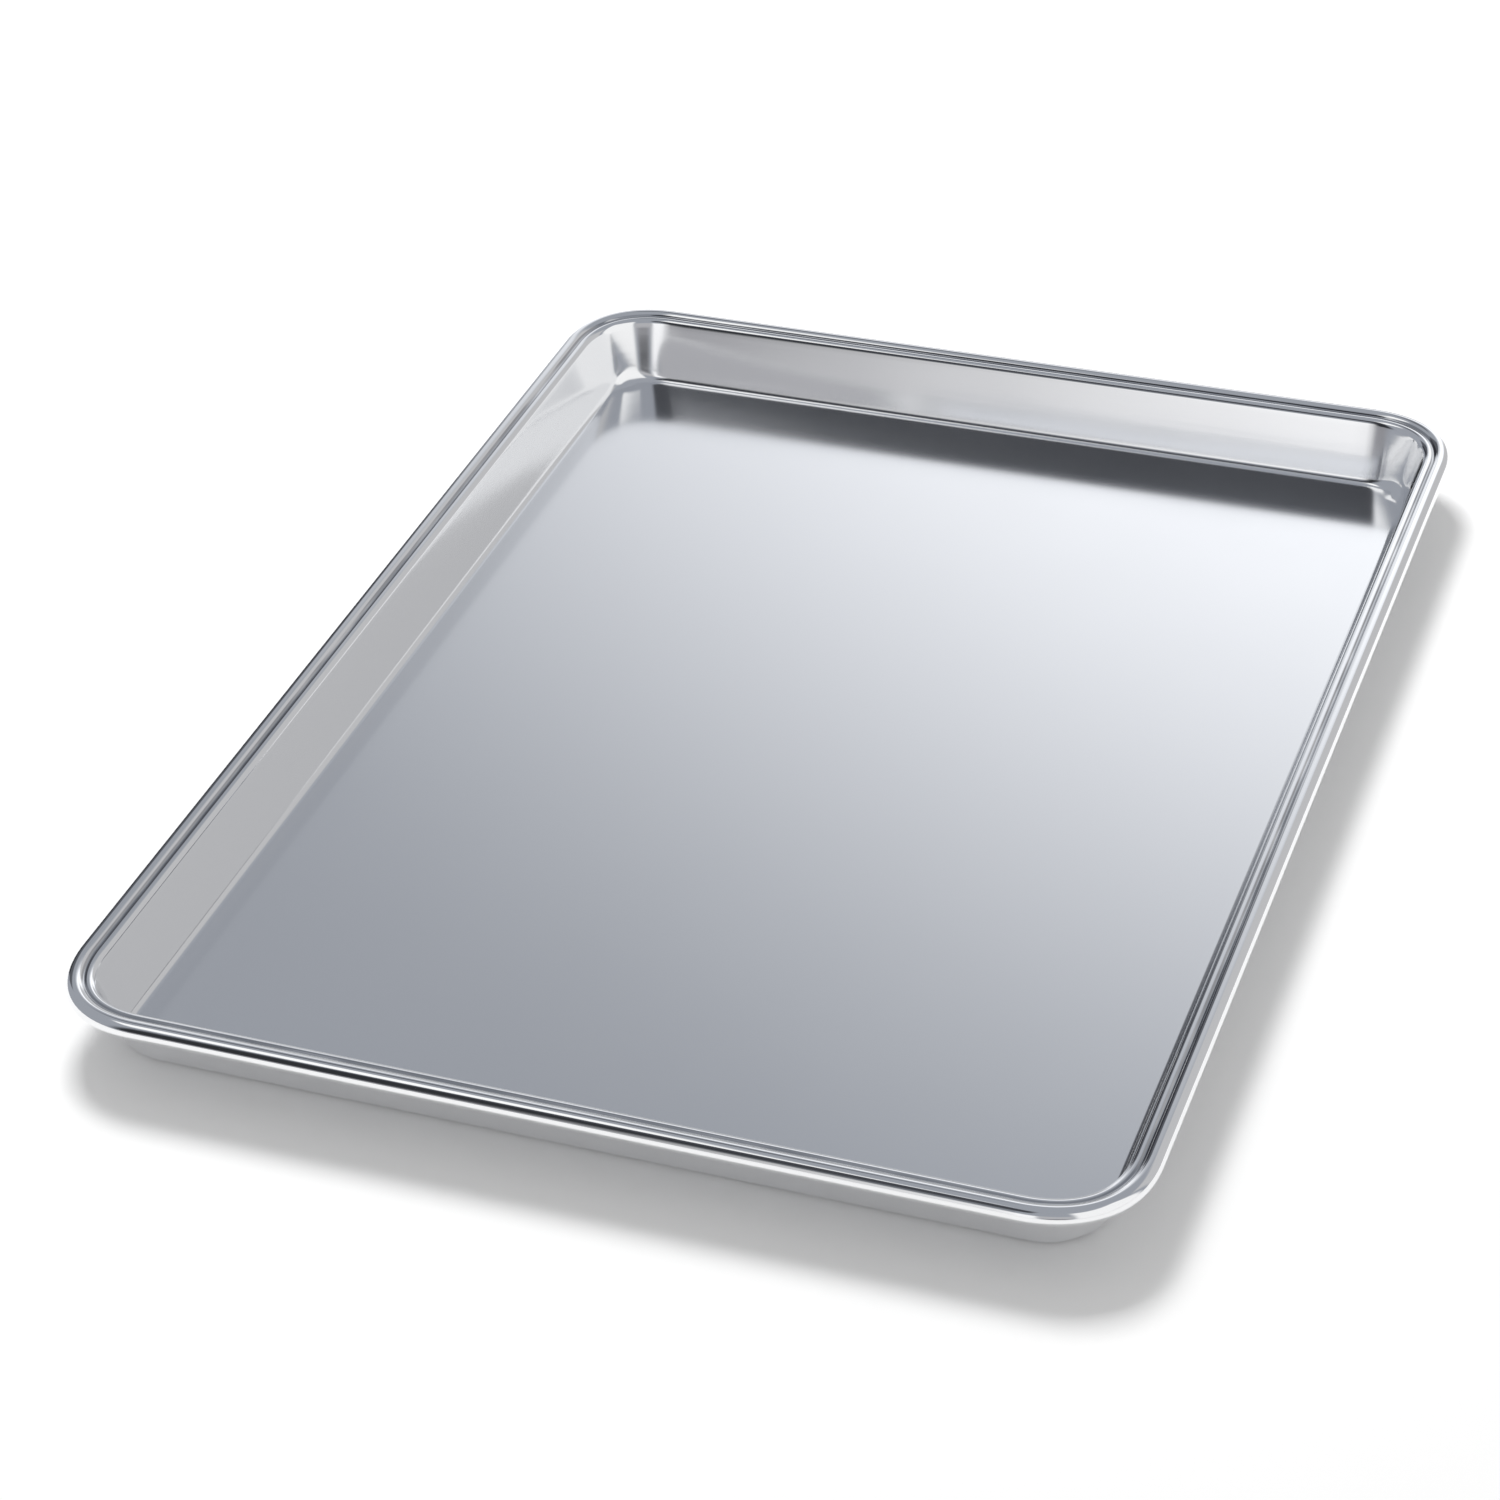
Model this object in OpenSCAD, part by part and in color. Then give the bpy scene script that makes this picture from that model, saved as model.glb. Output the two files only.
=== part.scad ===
// Jelly roll pan: one drawn sheet with leaning walls and rounded corners,
// its edge curled round a steel rod that stiffens the rim.
// Lengths are millimetres, the pan stands on z = 0 with its middle at the origin.

/* [Pan] */
// Length over the rim
pan_l = 442; // [380:1:480]
// Width over the rim
pan_w = 322; // [280:1:360]
// Height from the table to the top of the rim
pan_h = 23.5; // [20:0.5:32]
// Radius of the outer corners of the rim
corner_r = 29.5; // [27:0.5:45]

/* [Sheet] */
// Thickness of the drawn sheet
sheet_t = 0.9; // [0.7:0.05:1.1]
// Lean of the walls away from the vertical, in degrees
wall_lean = 16.5; // [12:0.5:22]
// Inside radius of the bend between floor and wall
floor_bend_r = 2.5; // [1.5:0.1:4]

/* [Rim] */
// Diameter of the rod inside the rim
rod_d = 4; // [3:0.1:4.6]
// Clearance all round between the rod and the curl
rod_play = 0.1; // [0.05:0.01:0.15]
// Gap between the butted ends of the rod
rod_end_gap = 0.6; // [0.3:0.1:2]
// Outside radius of the bend that turns the wall outwards
flare_r = 2.2; // [1.6:0.1:3]
// Distance from the bead's inner side to the middle of that bend
flare_set = 0.8; // [0.4:0.1:1.6]
// Depth of that bend's top below the bead's top
flare_drop = 1; // [0.6:0.1:1.5]
// Radius of the crease between that bend and the bead
hollow_r = 0.7; // [0.5:0.1:1.5]
// Where the curl ends, in degrees round the rod from its outer side
curl_end = 175; // [150:1:185]

/* [Hidden] */
$fn = 96;

// Largest turn from one point of a rounded stretch to the next, in degrees
arc_step = 12;

// Bead: the curl seen from outside, with the rod in its middle
curl_r = rod_d / 2 + rod_play;
bead_r = curl_r + sheet_t;
bead_c = [-bead_r, pan_h - bead_r];

// Flare: from the crease over its top to the slope of the wall
flare_c = [-2 * bead_r - flare_set, pan_h - flare_drop - flare_r];
wall_a = 90 + (90 - wall_lean);

// Crease: a small arc that touches both the bead and the flare
bead_reach = bead_r + hollow_r;
flare_reach = flare_r + hollow_r;
apart = norm(flare_c - bead_c);
to_flare = (flare_c - bead_c) / apart;
hollow_along = (pow(bead_reach, 2) - pow(flare_reach, 2) + pow(apart, 2)) / (2 * apart);
hollow_up = sqrt(pow(bead_reach, 2) - pow(hollow_along, 2));
hollow_c = bead_c + hollow_along * to_flare + hollow_up * [to_flare[1], -to_flare[0]];
bead_a = atan2(hollow_c[1] - bead_c[1], hollow_c[0] - bead_c[0]);
flare_a = atan2(hollow_c[1] - flare_c[1], hollow_c[0] - flare_c[0]);

// Wall: inner face from the flare down to the bend at the floor
wall_dir = [-sin(wall_lean), -cos(wall_lean)];
wall_out = [cos(wall_lean), -sin(wall_lean)];
wall_top = flare_c + flare_r * [cos(wall_a), sin(wall_a)];
bend_c_z = sheet_t + floor_bend_r;
wall_run = (wall_top[1] - bend_c_z + floor_bend_r * sin(wall_lean)) / cos(wall_lean);
wall_foot = wall_top + wall_run * wall_dir;
bend_c = wall_foot - floor_bend_r * wall_out;

// Points of an arc round c from angle a0 to angle a1; skip drops the points that the stretch before it has
function arc(c, r, a0, a1, skip = 0) =
    let (steps = ceil(abs(a1 - a0) / arc_step))
    [for (i = [skip:steps]) let (a = a0 + (a1 - a0) * i / steps) c + r * [cos(a), sin(a)]];

// Face that shows, from the corner axis out to the end of the curl; x = 0 is the outer edge
upper_face = concat(
    [[-corner_r, sheet_t]],
    arc(bend_c, floor_bend_r, 270, 360 - wall_lean),
    arc(flare_c, flare_r, wall_a, flare_a),
    arc(hollow_c, hollow_r, 180 + flare_a, 180 + bead_a, 1),
    arc(bead_c, bead_r, bead_a, -curl_end, 1)
);

// Face beneath, from the end of the curl back to the corner axis
lower_face = concat(
    arc(bead_c, curl_r, -curl_end, bead_a),
    arc(hollow_c, hollow_r + sheet_t, 180 + bead_a, 180 + flare_a, 1),
    arc(flare_c, flare_r - sheet_t, flare_a, wall_a, 1),
    arc(bend_c, floor_bend_r + sheet_t, 360 - wall_lean, 270),
    [[-corner_r, 0]]
);

module sheet_section() {
    polygon(concat(upper_face, lower_face));
}

// Carries a section round the rim path, with its corners turned about corner_r
module round_rim() {
    side_x = pan_w / 2 - corner_r;
    side_y = pan_l / 2 - corner_r;
    for (k = [0:3]) {
        corner = [[side_x, side_y], [-side_x, side_y], [-side_x, -side_y], [side_x, -side_y]][k];
        run = k % 2 == 0 ? 2 * side_x : 2 * side_y;
        translate(corner)
            rotate([0, 0, 90 * k]) {
                rotate_extrude(angle = 90)
                    translate([corner_r, 0])
                        children();
                rotate([90, 0, 90])
                    mirror([0, 0, 1])
                        linear_extrude(height = run)
                            translate([corner_r, 0])
                                children();
            }
    }
}

module pan_shell() {
    color("lightgray") {
        round_rim()
            sheet_section();
        translate([corner_r - pan_w / 2, corner_r - pan_l / 2, 0])
            cube([pan_w - 2 * corner_r, pan_l - 2 * corner_r, sheet_t]);
    }
}

module rim_rod() {
    color("slategray")
        difference() {
            round_rim()
                translate(bead_c)
                    circle(d = rod_d);
            translate([pan_w / 2 - bead_r, 0, bead_c[1]])
                cube([2 * rod_d, rod_end_gap, 2 * rod_d], center = true);
        }
}

pan_shell();
rim_rod();
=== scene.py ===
import math

import bpy
from mathutils import Euler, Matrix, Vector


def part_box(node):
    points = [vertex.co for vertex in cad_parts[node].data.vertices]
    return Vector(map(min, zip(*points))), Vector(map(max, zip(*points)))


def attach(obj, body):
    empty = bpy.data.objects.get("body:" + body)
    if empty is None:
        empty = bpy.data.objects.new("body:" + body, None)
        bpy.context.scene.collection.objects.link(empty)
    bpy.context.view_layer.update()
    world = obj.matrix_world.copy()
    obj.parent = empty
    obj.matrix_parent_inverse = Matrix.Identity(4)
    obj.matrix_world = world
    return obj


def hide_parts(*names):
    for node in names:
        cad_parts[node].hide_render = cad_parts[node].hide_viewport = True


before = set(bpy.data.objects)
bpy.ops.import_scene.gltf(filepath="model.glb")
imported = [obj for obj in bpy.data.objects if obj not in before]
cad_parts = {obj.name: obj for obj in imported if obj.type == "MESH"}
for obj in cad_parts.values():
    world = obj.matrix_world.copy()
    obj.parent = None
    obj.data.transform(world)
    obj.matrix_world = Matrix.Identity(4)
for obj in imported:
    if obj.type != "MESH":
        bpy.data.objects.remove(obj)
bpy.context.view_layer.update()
scene = bpy.context.scene
mm = 0.001
print("frame loaded:", ", ".join(sorted(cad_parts)))


def addNode(tree, kind, inputs=None, **settings):
    # Makes a node; a socket in inputs is linked, anything else is its value
    node = tree.nodes.new(kind)
    for name, value in settings.items():
        setattr(node, name, value)
    for name, value in (inputs or {}).items():
        if isinstance(value, bpy.types.NodeSocket):
            tree.links.new(value, node.inputs[name])
        else:
            node.inputs[name].default_value = value
    return node


def addMath(tree, operation, a, b=0.0):
    return addNode(tree, "ShaderNodeMath", {0: a, 1: b}, operation=operation).outputs[0]


def addVector(tree, operation, a, b=(0.0, 0.0, 0.0)):
    return addNode(tree, "ShaderNodeVectorMath", {0: a, 1: b}, operation=operation).outputs[0]


def addDot(tree, a, b):
    return addNode(tree, "ShaderNodeVectorMath", {0: a, 1: b}, operation="DOT_PRODUCT").outputs["Value"]


def addScaled(tree, vector, factor):
    return addNode(tree, "ShaderNodeVectorMath", {0: vector, "Scale": factor}, operation="SCALE").outputs[0]


def addRise(tree, value, low, high):
    # 0 below low, 1 above high and a soft step between them
    return addNode(tree, "ShaderNodeMapRange", {"Value": value, "From Min": low, "From Max": high},
                   interpolation_type="SMOOTHSTEP").outputs[0]


def addMix(tree, factor, a, b):
    # The mix node repeats its socket names, so the colours go in and out by number
    return addNode(tree, "ShaderNodeMix", {0: factor, 6: a, 7: b}, data_type="RGBA").outputs[2]


# Camera, where the photographer stood
viewPoint = {
    "place": (0.34747, -0.97690, 0.70881),
    "turn": (55.5955, 1.8692, 19.5185),  # degrees about X, Y and Z
    "lens": 95.22,
    "sensor": 36.0,
}


def placeCamera():
    data = bpy.data.cameras.new("photoCamera")
    data.lens = viewPoint["lens"]
    data.sensor_width = viewPoint["sensor"]
    camera = bpy.data.objects.new("photoCamera", data)
    camera.location = viewPoint["place"]
    camera.rotation_euler = Euler([math.radians(a) for a in viewPoint["turn"]])
    scene.collection.objects.link(camera)
    scene.camera = camera


placeCamera()
print("camera placed")

# The pan's sheet, in millimetres; its overall size comes from the frame
low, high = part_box("pan_shell")
sheet = {
    "length": (high.y - low.y) / mm,
    "width": (high.x - low.x) / mm,
    "height": (high.z - low.z) / mm,
    "cornerRadius": 29.5,
    "cornerEase": 1.1,  # the corner starts earlier than a plain arc, by this factor
    "cornerPull": 1.123,  # and its handles are longer than an arc's, by this factor
    "thickness": 0.9,
    "wallLean": 16.5,  # degrees
    "floorBend": 2.5,
    "cornerBend": 6.6,  # the bend at the floor widens to this on each corner's diagonal
    "rodRadius": 2.0,
    "rodPlay": 0.1,
    "flareRadius": 2.2,
    "flareSet": 0.8,
    "flareDrop": 1.0,
    "hollowRadius": 0.7,
    "creaseShadeReach": 1.3,  # the painted shade in the crease reaches this far from its middle, in hollow radii
    "curlEnd": 175.0,  # degrees round the rod from its outer side
    "floorReach": 21.0,  # how far in from the rim the swept part of the floor goes
    "waver": 0.3,  # how far the drawn walls stray from a straight line
    "wavesOver": 70.0,  # the length over which they stray
    "mergeWithin": 0.02,
    "cornerSteps": 24,
    "sideCuts": 48,
    "aboveSteps": {"floor": 4, "bend": 10, "wall": 12, "flare": 12, "crease": 8, "bead": 52},
    "belowSteps": {"floor": 4, "bend": 8, "wall": 8, "flare": 6, "crease": 6, "bead": 26},
}


def arc(centre, radius, start, end, steps):
    angles = [math.radians(start + (end - start) * i / steps) for i in range(steps + 1)]
    return [(centre[0] + radius * math.cos(a), centre[1] + radius * math.sin(a)) for a in angles]


def between(a, b, steps):
    return [(a[0] + (b[0] - a[0]) * i / steps, a[1] + (b[1] - a[1]) * i / steps)
            for i in range(1, steps)]


def sheetSection(bend):
    # Outline of the sheet from the floor's upper face over the rim and back underneath;
    # x = 0 is the outer edge of the rim and y is the height
    t = sheet["thickness"]
    lean = math.radians(sheet["wallLean"])
    curl = sheet["rodRadius"] + sheet["rodPlay"]
    bead = curl + t
    beadC = (-bead, sheet["height"] - bead)
    flare = sheet["flareRadius"]
    flareC = (-2 * bead - sheet["flareSet"], sheet["height"] - sheet["flareDrop"] - flare)

    # The crease between them is a small arc that touches both
    crease = sheet["hollowRadius"]
    apart = math.dist(beadC, flareC)
    along = ((bead + crease)**2 - (flare + crease)**2 + apart**2) / (2 * apart)
    up = math.sqrt((bead + crease)**2 - along**2)
    toFlare = ((flareC[0] - beadC[0]) / apart, (flareC[1] - beadC[1]) / apart)
    creaseC = (beadC[0] + along * toFlare[0] + up * toFlare[1],
               beadC[1] + along * toFlare[1] - up * toFlare[0])
    beadA = math.degrees(math.atan2(creaseC[1] - beadC[1], creaseC[0] - beadC[0]))
    flareA = math.degrees(math.atan2(creaseC[1] - flareC[1], creaseC[0] - flareC[0]))

    # The wall runs down from the flare to the bend at the floor
    wallA = 180 - sheet["wallLean"]
    bendA = 360 - sheet["wallLean"]
    wallTop = arc(flareC, flare, wallA, wallA, 1)[0]
    run = (wallTop[1] - t - bend + bend * math.sin(lean)) / math.cos(lean)
    foot = (wallTop[0] - run * math.sin(lean), wallTop[1] - run * math.cos(lean))
    bendC = (foot[0] - bend * math.cos(lean), t + bend)
    wallOut = (t * math.cos(lean), -t * math.sin(lean))
    footOut = (foot[0] + wallOut[0], foot[1] + wallOut[1])
    topOut = (wallTop[0] + wallOut[0], wallTop[1] + wallOut[1])
    inner = -sheet["floorReach"]

    steps = sheet["aboveSteps"]
    above = [(inner, t)]
    above += between((inner, t), (bendC[0], t), steps["floor"])
    above += arc(bendC, bend, 270, bendA, steps["bend"])
    above += between(foot, wallTop, steps["wall"])
    above += arc(flareC, flare, wallA, flareA, steps["flare"])
    above += arc(creaseC, crease, 180 + flareA, 180 + beadA, steps["crease"])[1:]
    above += arc(beadC, bead, beadA, -sheet["curlEnd"], steps["bead"])[1:]

    steps = sheet["belowSteps"]
    below = arc(beadC, curl, -sheet["curlEnd"], beadA, steps["bead"])
    below += arc(creaseC, crease + t, 180 + beadA, 180 + flareA, steps["crease"])[1:]
    below += arc(flareC, flare - t, flareA, wallA, steps["flare"])[1:]
    below += between(topOut, footOut, steps["wall"])
    below += arc(bendC, bend + t, bendA, 270, steps["bend"])
    below += between((bendC[0], 0.0), (inner, 0.0), steps["floor"])
    below.append((inner, 0.0))
    # Points near the crease's middle are marked to carry painted shade
    creaseShadeMask = [math.dist(p, creaseC) < sheet["creaseShadeReach"] * crease for p in above + below]
    return above, below, creaseShadeMask


def sectionMesh():
    # The outline as a chain of edges; each point knows its place on a side and in a corner
    above, below, creaseShadeMask = sheetSection(sheet["floorBend"])
    wideAbove, wideBelow = sheetSection(sheet["cornerBend"])[:2]
    points = above + below
    wide = wideAbove + wideBelow
    mesh = bpy.data.meshes.new("sheetSection")
    mesh.from_pydata([(x * mm, -y * mm, 0.0) for x, y in points],
                     [(i, i + 1) for i in range(len(points) - 1)], [])
    for name in ("sidePoint", "cornerPoint"):
        mesh.attributes.new(name, "FLOAT_VECTOR", "POINT")
    for name in ("sheetRun", "crease"):
        mesh.attributes.new(name, "FLOAT", "POINT")
    run = 0.0
    for i, (p, w) in enumerate(zip(points, wide)):
        mesh.attributes["sidePoint"].data[i].vector = (p[0] * mm, p[1] * mm, 0.0)
        mesh.attributes["cornerPoint"].data[i].vector = (w[0] * mm, w[1] * mm, 0.0)
        if i:
            step = math.dist(points[i - 1], p) * mm
            run += step if i < len(above) else -step
        mesh.attributes["sheetRun"].data[i].value = run
        # The crease attribute marks the points that get painted shade
        mesh.attributes["crease"].data[i].value = float(creaseShadeMask[i])
    return mesh


def sheetTree():
    tree = bpy.data.node_groups.new("sweptSheet", "GeometryNodeTree")
    sockets = tree.interface
    sockets.new_socket("Section", in_out="INPUT", socket_type="NodeSocketGeometry")
    for name in ("Length", "Width", "Height", "Corner Radius", "Corner Ease", "Corner Pull",
                 "Thickness", "Floor Reach", "Waver", "Waves Over", "Merge Within"):
        sockets.new_socket(name, in_out="INPUT", socket_type="NodeSocketFloat")
    for name in ("Corner Steps", "Side Cuts"):
        sockets.new_socket(name, in_out="INPUT", socket_type="NodeSocketInt")
    sockets.new_socket("Finish", in_out="INPUT", socket_type="NodeSocketMaterial")
    sockets.new_socket("Sheet", in_out="OUTPUT", socket_type="NodeSocketGeometry")
    given = tree.nodes.new("NodeGroupInput").outputs

    # Path round the outer edge: a rectangle whose corners ease in and out of their turn
    box = addNode(tree, "GeometryNodeCurvePrimitiveQuadrilateral",
                  {"Width": given["Width"], "Height": given["Length"]})
    bezier = addNode(tree, "GeometryNodeCurveSplineType", {"Curve": box.outputs[0]}, spline_type="BEZIER")
    radius = addMath(tree, "MULTIPLY", given["Corner Radius"], given["Corner Ease"])
    rounded = addNode(tree, "GeometryNodeFilletCurve",
                      {"Curve": bezier.outputs[0], "Radius": radius}, mode="BEZIER")
    position = addNode(tree, "GeometryNodeInputPosition").outputs[0]
    path = rounded.outputs[0]
    handles = addNode(tree, "GeometryNodeInputCurveHandlePositions", {"Relative": True}).outputs
    for side in ("LEFT", "RIGHT"):
        straight = addNode(tree, "GeometryNodeCurveHandleTypeSelection", mode={side}, handle_type="VECTOR")
        curved = addMath(tree, "SUBTRACT", 1.0, straight.outputs[0])
        longer = addScaled(tree, handles[side.capitalize()], given["Corner Pull"])
        pulled = addVector(tree, "ADD", position, longer)
        path = addNode(tree, "GeometryNodeSetCurveHandlePositions",
                       {"Curve": path, "Selection": curved, "Position": pulled}, mode=side).outputs[0]
    straight = addNode(tree, "GeometryNodeCurveHandleTypeSelection", mode={"RIGHT"}, handle_type="VECTOR")
    cuts = addMath(tree, "MULTIPLY", straight.outputs[0], given["Side Cuts"])
    cut = addNode(tree, "GeometryNodeSubdivideCurve", {"Curve": path, "Cuts": cuts})
    fine = addNode(tree, "GeometryNodeSetSplineResolution",
                   {"Geometry": cut.outputs[0], "Resolution": given["Corner Steps"]})
    path = addNode(tree, "GeometryNodeResampleCurve", {"Curve": fine.outputs[0]}, mode="EVALUATED").outputs[0]

    def named(name, kind):
        known = addNode(tree, "GeometryNodeInputNamedAttribute", {"Name": name}, data_type=kind)
        return known.outputs["Attribute"]

    # Each station of the path remembers its place, its heading and how far round it lies
    capture = tree.nodes.new("GeometryNodeCaptureAttribute")
    tree.links.new(path, capture.inputs["Geometry"])
    known = (("VECTOR", "Place", position),
             ("VECTOR", "Heading", addNode(tree, "GeometryNodeInputTangent").outputs[0]),
             ("FLOAT", "Around", addNode(tree, "GeometryNodeSplineParameter").outputs["Length"]),
             ("FLOAT", "Whole", addNode(tree, "GeometryNodeSplineLength").outputs["Length"]))
    for kind, name, socket in known:
        capture.capture_items.new(kind, name)
        tree.links.new(socket, capture.inputs[name])
    place, heading, around, whole = (capture.outputs[name] for kind, name, socket in known)
    section = addNode(tree, "GeometryNodeMeshToCurve", {"Mesh": given["Section"]}).outputs[0]
    swept = addNode(tree, "GeometryNodeCurveToMesh",
                    {"Curve": capture.outputs["Geometry"], "Profile Curve": section}).outputs[0]

    # Outward is square to the heading, away from the middle of the pan
    square = addVector(tree, "CROSS_PRODUCT", heading, (0.0, 0.0, 1.0))
    outward = addScaled(tree, square, addMath(tree, "SIGN", addDot(tree, square, place)))

    # The section of the sides passes into the corners' wider one, fully at each diagonal
    slope = addNode(tree, "ShaderNodeSeparateXYZ", {0: outward}).outputs
    diagonal = addMath(tree, "MULTIPLY", addMath(tree, "MULTIPLY", slope["X"], slope["Y"]), 2.0)
    cornerShare = addMath(tree, "MULTIPLY", diagonal, diagonal)
    sidePoint = named("sidePoint", "FLOAT_VECTOR")
    cornerPoint = named("cornerPoint", "FLOAT_VECTOR")
    drawn = addNode(tree, "ShaderNodeMix", {0: cornerShare, 4: sidePoint, 5: cornerPoint}, data_type="VECTOR")
    drawnAt = addNode(tree, "ShaderNodeSeparateXYZ", {0: drawn.outputs[1]}).outputs

    # Grain: the way round as a circle and the way across as a height, so that it has no seam
    turn = addMath(tree, "MULTIPLY", addMath(tree, "DIVIDE", around, whole), 2 * math.pi)
    ring = addMath(tree, "DIVIDE", whole, 2 * math.pi)
    grain = addNode(tree, "ShaderNodeCombineXYZ", {
        "X": addMath(tree, "MULTIPLY", ring, addMath(tree, "COSINE", turn)),
        "Y": addMath(tree, "MULTIPLY", ring, addMath(tree, "SINE", turn)),
        "Z": named("sheetRun", "FLOAT")}).outputs[0]

    # The walls waver a little between the floor and the rim, and only inwards; the belly is 1 halfway up
    level = addVector(tree, "MULTIPLY", grain, (1.0, 1.0, 0.0))
    perLength = addMath(tree, "DIVIDE", 1.0, given["Waves Over"])
    noise = addNode(tree, "ShaderNodeTexNoise",
                    {"Vector": addScaled(tree, level, perLength), "Scale": 1.0, "Detail": 1.0}).outputs["Fac"]
    lift = addNode(tree, "ShaderNodeMapRange", {
        "Value": drawnAt["Y"], "From Min": given["Thickness"], "From Max": given["Height"]}).outputs[0]
    rest = addMath(tree, "SUBTRACT", 1.0, lift)
    belly = addMath(tree, "MULTIPLY", addMath(tree, "MULTIPLY", lift, rest), 4.0)
    stray = addMath(tree, "MULTIPLY", addMath(tree, "MULTIPLY", noise, belly), given["Waver"])
    across = addMath(tree, "SUBTRACT", drawnAt["X"], stray)
    upward = addNode(tree, "ShaderNodeCombineXYZ", {"Z": drawnAt["Y"]}).outputs[0]
    placed = addVector(tree, "ADD", addVector(tree, "ADD", place, addScaled(tree, outward, across)), upward)
    shaped = addNode(tree, "GeometryNodeSetPosition", {"Geometry": swept, "Position": placed}).outputs[0]
    grained = addNode(tree, "GeometryNodeStoreNamedAttribute",
                      {"Geometry": shaped, "Name": "grain", "Value": grain},
                      data_type="FLOAT_VECTOR", domain="POINT").outputs[0]

    # The middle of the floor, above and below
    inset = addVector(tree, "SUBTRACT", place, addScaled(tree, outward, given["Floor Reach"]))
    edge = addNode(tree, "GeometryNodeSetPosition",
                   {"Geometry": capture.outputs["Geometry"], "Position": inset})
    middle = addNode(tree, "GeometryNodeFillCurve", {"Curve": edge.outputs[0]}, mode="NGONS").outputs[0]
    raised = addNode(tree, "ShaderNodeCombineXYZ", {"Z": given["Thickness"]}).outputs[0]
    above = addNode(tree, "GeometryNodeTransform", {"Geometry": middle, "Translation": raised}).outputs[0]
    below = addNode(tree, "GeometryNodeFlipFaces", {"Mesh": middle}).outputs[0]
    joined = tree.nodes.new("GeometryNodeJoinGeometry")
    for piece in (grained, above, below):
        tree.links.new(piece, joined.inputs[0])
    closed = addNode(tree, "GeometryNodeMergeByDistance",
                     {"Geometry": joined.outputs[0], "Distance": given["Merge Within"]})
    smooth = addNode(tree, "GeometryNodeSetShadeSmooth", {"Geometry": closed.outputs[0]})
    real = addNode(tree, "GeometryNodeRealizeInstances", {"Geometry": smooth.outputs[0]})
    finished = addNode(tree, "GeometryNodeSetMaterial",
                       {"Geometry": real.outputs[0], "Material": given["Finish"]})
    tree.links.new(finished.outputs[0], tree.nodes.new("NodeGroupOutput").inputs[0])
    return tree


def buildSheet(finish):
    draft = bpy.data.objects.new("panSheetDraft", sectionMesh())
    scene.collection.objects.link(draft)
    modifier = draft.modifiers.new("sweep", "NODES")
    modifier.node_group = sheetTree()
    values = {
        "Length": sheet["length"] * mm,
        "Width": sheet["width"] * mm,
        "Height": sheet["height"] * mm,
        "Corner Radius": sheet["cornerRadius"] * mm,
        "Corner Ease": sheet["cornerEase"],
        "Corner Pull": sheet["cornerPull"],
        "Thickness": sheet["thickness"] * mm,
        "Floor Reach": sheet["floorReach"] * mm,
        "Waver": sheet["waver"] * mm,
        "Waves Over": sheet["wavesOver"] * mm,
        "Merge Within": sheet["mergeWithin"] * mm,
        "Corner Steps": sheet["cornerSteps"],
        "Side Cuts": sheet["sideCuts"],
        "Finish": finish,
    }
    for item in modifier.node_group.interface.items_tree:
        if item.in_out == "INPUT" and item.name in values:
            modifier[item.identifier] = values[item.name]
    graph = bpy.context.evaluated_depsgraph_get()
    mesh = bpy.data.meshes.new_from_object(draft.evaluated_get(graph), depsgraph=graph)
    bpy.data.objects.remove(draft)
    mesh.name = "panSheet"
    piece = bpy.data.objects.new("panSheet", mesh)
    scene.collection.objects.link(piece)
    return piece


# Finish of the sheet: satin on the floor, brighter on the walls and brightest on the rim
metal = {
    "tone": (0.88, 0.885, 0.895, 1.0),
    "creaseShadeTone": (0.45, 0.46, 0.48, 1.0),  # painted shade: the crease beside the bead is darkened
    "floorRoughness": 0.14,
    "wallRoughness": 0.11,
    "rimRoughness": 0.06,
    "rimStart": 19.5,  # mm; the rim's polish comes in from here
    "rimFull": 21.0,  # mm; and is full from here
    "floorTop": 1.6,  # mm; up to here it is floor
    "wallStart": 4.0,  # mm; from here on it is wall
    "streaks": {"along": 7.0, "across": 170.0},  # the broad draw marks on the walls, per metre
    "streakDepth": 0.02,  # mm
    "lines": {"along": 14.0, "across": 2200.0},  # the fine lines, per metre
    "lineDepth": 0.0006,  # mm
    "shadeBlotches": {"along": 40.0, "across": 300.0},  # where the painted shade in the crease lies, per metre
    "blotchFrom": 0.1,
    "blotchFull": 0.65,
    "cloud": 0.04,  # how far the roughness drifts from place to place
    "cloudScale": 18.0,
    "cloudDetail": 3.0,
}


def grainGroup():
    # Long marks that run round the pan: noise drawn out along the grain
    group = bpy.data.node_groups.new("drawnMarks", "ShaderNodeTree")
    group.interface.new_socket("Vector", in_out="INPUT", socket_type="NodeSocketVector")
    for name in ("Along", "Across"):
        group.interface.new_socket(name, in_out="INPUT", socket_type="NodeSocketFloat")
    group.interface.new_socket("Mark", in_out="OUTPUT", socket_type="NodeSocketFloat")
    given = group.nodes.new("NodeGroupInput").outputs
    scale = addNode(group, "ShaderNodeCombineXYZ",
                    {"X": given["Along"], "Y": given["Along"], "Z": given["Across"]}).outputs[0]
    noise = addNode(group, "ShaderNodeTexNoise", {
        "Vector": addVector(group, "MULTIPLY", given["Vector"], scale), "Scale": 1.0, "Detail": 2.0})
    group.links.new(noise.outputs["Fac"], group.nodes.new("NodeGroupOutput").inputs[0])
    return group


marks = grainGroup()


def addMarks(tree, vector, scales):
    node = addNode(tree, "ShaderNodeGroup", node_tree=marks)
    tree.links.new(vector, node.inputs["Vector"])
    node.inputs["Along"].default_value = scales["along"]
    node.inputs["Across"].default_value = scales["across"]
    return node.outputs["Mark"]


def newFinish(name, tone):
    material = bpy.data.materials.new(name)
    material.use_nodes = True
    shader = material.node_tree.nodes["Principled BSDF"]
    shader.inputs["Base Color"].default_value = tone
    shader.inputs["Metallic"].default_value = 1.0
    return material, material.node_tree, shader


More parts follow.
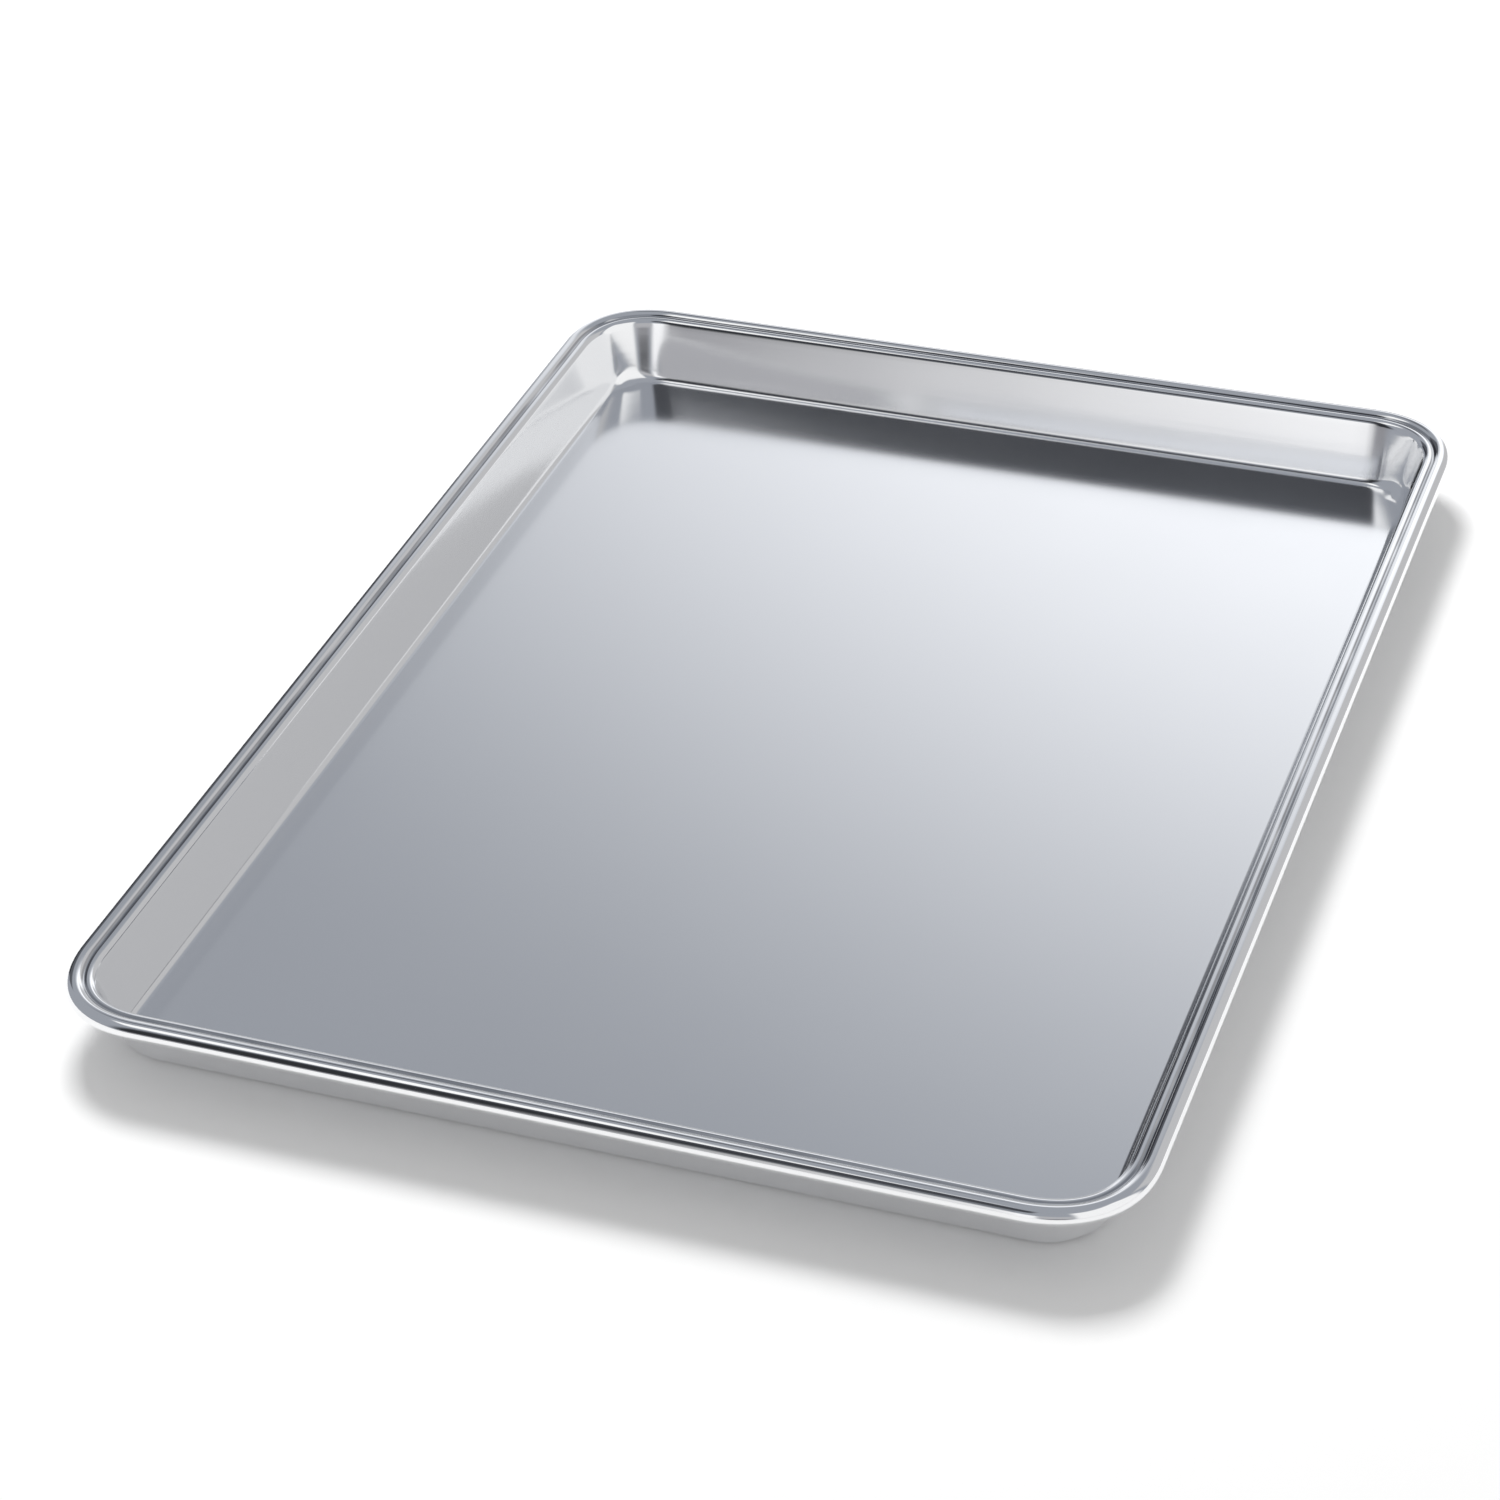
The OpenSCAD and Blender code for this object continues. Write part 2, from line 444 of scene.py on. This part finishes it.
def bareAluminium():
    material, tree, shader = newFinish("bareAluminium", metal["tone"])
    objectAt = addNode(tree, "ShaderNodeTexCoord").outputs["Object"]
    height = addNode(tree, "ShaderNodeSeparateXYZ", {0: objectAt}).outputs["Z"]
    wall = addRise(tree, height, metal["floorTop"] * mm, metal["wallStart"] * mm)
    rim = addRise(tree, height, metal["rimStart"] * mm, metal["rimFull"] * mm)
    grain = addNode(tree, "ShaderNodeAttribute", attribute_name="grain").outputs["Vector"]

    # Draw marks on walls and rim, none on the floor
    streaks = addMath(tree, "MULTIPLY", addMarks(tree, grain, metal["streaks"]), metal["streakDepth"] * mm)
    lines = addMath(tree, "MULTIPLY", addMarks(tree, grain, metal["lines"]), metal["lineDepth"] * mm)
    marked = addMath(tree, "MULTIPLY", addMath(tree, "ADD", streaks, lines), wall)
    bump = addNode(tree, "ShaderNodeBump", {"Height": marked, "Distance": 1.0})
    tree.links.new(bump.outputs[0], shader.inputs["Normal"])

    # Roughness steps from floor to wall to rim and drifts a little everywhere
    wallStep = addMath(tree, "MULTIPLY", wall, metal["wallRoughness"] - metal["floorRoughness"])
    rimStep = addMath(tree, "MULTIPLY", rim, metal["rimRoughness"] - metal["wallRoughness"])
    base = addMath(tree, "ADD", addMath(tree, "ADD", wallStep, metal["floorRoughness"]), rimStep)
    cloud = addNode(tree, "ShaderNodeTexNoise", {
        "Vector": objectAt, "Scale": metal["cloudScale"], "Detail": metal["cloudDetail"]})
    drift = addMath(tree, "MULTIPLY", addMath(tree, "SUBTRACT", cloud.outputs["Fac"], 0.5), metal["cloud"])
    tree.links.new(addMath(tree, "ADD", base, drift), shader.inputs["Roughness"])

    # Painted shade: the crease beside the bead is darkened in blotches, standing in for the shade that falls
    # there
    crease = addNode(tree, "ShaderNodeAttribute", attribute_name="crease").outputs["Fac"]
    shadeBlotches = addMarks(tree, grain, metal["shadeBlotches"])
    paintedCreaseShade = addMath(tree, "MULTIPLY", crease,
                     addRise(tree, shadeBlotches, metal["blotchFrom"], metal["blotchFull"]))
    tone = addMix(tree, paintedCreaseShade, metal["tone"], metal["creaseShadeTone"])
    tree.links.new(tone, shader.inputs["Base Color"])
    return material


# The rod in the rim, which shows only through the slit below the curl
rod = {
    "tone": (0.5, 0.51, 0.52, 1.0),
    "roughness": 0.38,
    "roughnessSpread": 0.2,
    "marks": {"along": 300.0, "across": 900.0},  # per metre
}


def drawnSteel():
    material, tree, shader = newFinish("drawnSteel", rod["tone"])
    objectAt = addNode(tree, "ShaderNodeTexCoord").outputs["Object"]
    dull = addMath(tree, "MULTIPLY", addMarks(tree, objectAt, rod["marks"]), rod["roughnessSpread"])
    smoothest = rod["roughness"] - rod["roughnessSpread"] / 2
    tree.links.new(addMath(tree, "ADD", dull, smoothest), shader.inputs["Roughness"])
    return material


panSheet = buildSheet(bareAluminium())
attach(panSheet, "root")
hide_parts("pan_shell")
print("sheet drawn:", len(panSheet.data.polygons), "faces")

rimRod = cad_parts["rim_rod"]
rimRod.data.materials.clear()
rimRod.data.materials.append(drawnSteel())
print("rod finished")

# The studio as the metal sees it, in degrees: azimuth from +Y towards +X, and elevation.
# Azimuths run from lastAzimuth round the front down to a whole turn less, so the back left
# is near -40, the front near -180 and the right near -270. A later panel hides an earlier one.
studio = {
    "skyLevel": 0.55,
    "table": (0.72, 0.72, 0.72, 1.0),
    "tableSeen": (1.0, 1.0, 1.0, 1.0),
    "tableSize": 6.0,
    "tableDrop": 0.1,  # mm below the pan's base
    "tableRoughness": 0.9,
    "lampPlace": (-0.75, 1.15, 2.0),
    "lampSize": 0.8,
    "lampPower": 42.0,
    "room": (0.35, 0.37, 0.41),
    "lastAzimuth": 70.0,
    "glow": {"toward": (-4.0, 8.0), "reach": 24.0, "edge": 12.0, "power": 1.6, "level": 0.82},
    "panels": {
        "backDoor": {"across": (-26, -4), "up": (-9, 22), "edge": (8, 6), "tone": (0.55, 0.56, 0.58)},
        "topFlag": {"across": (-44, -21), "up": (43, 56), "edge": (6, 5), "tone": (0.14, 0.15, 0.17)},
        "leftFlag": {"across": (-60, -37), "up": (-9, 28), "edge": (4, 6), "tone": (0.04, 0.042, 0.05)},
        "leftTopFlag": {"across": (-62, -32), "up": (16, 32), "edge": (4, 5), "tone": (0.1, 0.105, 0.12)},
        "sideCurtain": {"across": (6, 64), "up": (-9, 44), "edge": (8, 6), "tone": (0.56, 0.56, 0.57)},
        "sideScreen": {"across": (-287, -214), "up": (-9, 60), "edge": (10, 8), "tone": (1.0, 1.0, 1.0)},
        "frontScreen": {"across": (-183, -160), "up": (-9, 27), "edge": (8, 8), "tone": (1.05, 1.05, 1.06)},
        "lowFlag": {"across": (-207, -188), "up": (-9, 7), "edge": (10, 4), "tone": (0.07, 0.073, 0.08)},
        "frontCurtain": {"across": (-212, -183), "up": (6, 30), "edge": (6, 5), "tone": (0.48, 0.48, 0.5)},
        "frontFlag": {"across": (-163.5, -141), "up": (8, 68), "edge": (14, 5), "tone": (0.03, 0.032, 0.036)},
        "frontEdge": {"across": (-165, -148), "up": (-9, 9), "edge": (14, 4), "tone": (0.3, 0.3, 0.32)},
        "highFlag": {"across": (-174, -140), "up": (48, 67), "edge": (8, 6), "tone": (0.06, 0.063, 0.072)},
        "topScreen": {"across": (-136, -76), "up": (59, 73), "edge": (10, 4), "tone": (1.1, 1.1, 1.1)},
    },
}


def aim(azimuth, elevation):
    a = math.radians(azimuth)
    e = math.radians(elevation)
    return (math.sin(a) * math.cos(e), math.cos(a) * math.cos(e), math.sin(e))


def softBoxGroup():
    # How far a direction lies within a box that runs from Left to Right and from Low to High;
    # half of each edge's width lies outside the box
    group = bpy.data.node_groups.new("softBox", "ShaderNodeTree")
    for name in ("Azimuth", "Elevation", "Left", "Right", "Low", "High", "Side Edge", "Level Edge"):
        group.interface.new_socket(name, in_out="INPUT", socket_type="NodeSocketFloat")
    group.interface.new_socket("Share", in_out="OUTPUT", socket_type="NodeSocketFloat")
    given = group.nodes.new("NodeGroupInput").outputs

    def within(value, low, high, edge):
        fromLow = addMath(group, "SUBTRACT", given[value], given[low])
        fromHigh = addMath(group, "SUBTRACT", given[high], given[value])
        inside = addMath(group, "MINIMUM", fromLow, fromHigh)
        return addRise(group, addMath(group, "DIVIDE", inside, given[edge]), -0.5, 0.5)

    sideways = within("Azimuth", "Left", "Right", "Side Edge")
    upright = within("Elevation", "Low", "High", "Level Edge")
    share = addMath(group, "MULTIPLY", sideways, upright)
    group.links.new(share, group.nodes.new("NodeGroupOutput").inputs[0])
    return group


def addGlow(tree, direction, glow):
    # A round light with its full level within reach degrees of its direction
    toward = addDot(tree, direction, aim(*glow["toward"]))
    angle = addMath(tree, "DEGREES", addMath(tree, "ARCCOSINE", toward))
    inside = addMath(tree, "SUBTRACT", glow["reach"] + glow["edge"], angle)
    share = addNode(tree, "ShaderNodeClamp",
                    {"Value": addMath(tree, "DIVIDE", inside, glow["edge"])}).outputs[0]
    light = addMath(tree, "MULTIPLY", addMath(tree, "POWER", share, glow["power"]), glow["level"])
    return addNode(tree, "ShaderNodeCombineXYZ", {"X": light, "Y": light, "Z": light}).outputs[0]


def buildRoom():
    # The camera sees white and the soft light is an even sky; mirror rays see the room with its panels
    world = bpy.data.worlds.new("studio")
    world.use_nodes = True
    scene.world = world
    tree = world.node_tree
    boxes = softBoxGroup()
    direction = addNode(tree, "ShaderNodeTexCoord").outputs["Generated"]
    parts = addNode(tree, "ShaderNodeSeparateXYZ", {0: direction}).outputs
    turned = addMath(tree, "DEGREES", addMath(tree, "ARCTAN2", parts["X"], parts["Y"]))
    last = studio["lastAzimuth"]
    wrapped = addNode(tree, "ShaderNodeMath", {0: turned, 1: last, 2: last - 360.0}, operation="WRAP")
    azimuth = wrapped.outputs[0]
    elevation = addMath(tree, "DEGREES", addMath(tree, "ARCSINE", parts["Z"]))

    room = addVector(tree, "ADD", studio["room"], addGlow(tree, direction, studio["glow"]))
    for panel in studio["panels"].values():
        box = addNode(tree, "ShaderNodeGroup", node_tree=boxes)
        tree.links.new(azimuth, box.inputs["Azimuth"])
        tree.links.new(elevation, box.inputs["Elevation"])
        box.inputs["Left"].default_value, box.inputs["Right"].default_value = panel["across"]
        box.inputs["Low"].default_value, box.inputs["High"].default_value = panel["up"]
        box.inputs["Side Edge"].default_value, box.inputs["Level Edge"].default_value = panel["edge"]
        room = addMix(tree, box.outputs["Share"], room, (*panel["tone"], 1.0))

    path = addNode(tree, "ShaderNodeLightPath").outputs
    plain = tree.nodes["Background"]
    plain.inputs["Color"].default_value = (1.0, 1.0, 1.0, 1.0)
    extra = addMath(tree, "MULTIPLY", path["Is Camera Ray"], 1.0 - studio["skyLevel"])
    tree.links.new(addMath(tree, "ADD", studio["skyLevel"], extra), plain.inputs["Strength"])
    mirrored = addNode(tree, "ShaderNodeBackground", {"Color": room})
    both = addNode(tree, "ShaderNodeMixShader",
                   {0: path["Is Glossy Ray"], 1: plain.outputs[0], 2: mirrored.outputs[0]})
    tree.links.new(both.outputs[0], tree.nodes["World Output"].inputs["Surface"])


def tablePaper():
    # Full white to the camera and the mirrors, light grey to the light that bounces off it
    material = bpy.data.materials.new("tablePaper")
    material.use_nodes = True
    tree = material.node_tree
    shader = tree.nodes["Principled BSDF"]
    shader.inputs["Roughness"].default_value = studio["tableRoughness"]
    shader.inputs["Specular IOR Level"].default_value = 0.0
    path = addNode(tree, "ShaderNodeLightPath").outputs
    mirrored = addMath(tree, "MAXIMUM", path["Is Glossy Ray"], path["Is Transmission Ray"])
    seen = addMath(tree, "MAXIMUM", path["Is Camera Ray"], mirrored)
    tone = addMix(tree, seen, studio["table"], studio["tableSeen"])
    tree.links.new(tone, shader.inputs["Base Color"])
    return material


def layTable():
    mesh = bpy.data.meshes.new("table")
    s = studio["tableSize"] / 2
    z = -studio["tableDrop"] * mm
    mesh.from_pydata([(-s, -s, z), (s, -s, z), (s, s, z), (-s, s, z)], [], [(0, 1, 2, 3)])
    mesh.materials.append(tablePaper())
    table = bpy.data.objects.new("table", mesh)
    scene.collection.objects.link(table)


def hangLamp():
    data = bpy.data.lights.new("softLamp", "AREA")
    data.size = studio["lampSize"]
    data.energy = studio["lampPower"]
    lamp = bpy.data.objects.new("softLamp", data)
    lamp.location = studio["lampPlace"]
    lamp.rotation_euler = lamp.location.to_track_quat("Z", "Y").to_euler()
    lamp.visible_glossy = False
    lamp.visible_camera = False
    scene.collection.objects.link(lamp)


buildRoom()
layTable()
hangLamp()
scene.view_settings.view_transform = "Standard"
print("studio lit")
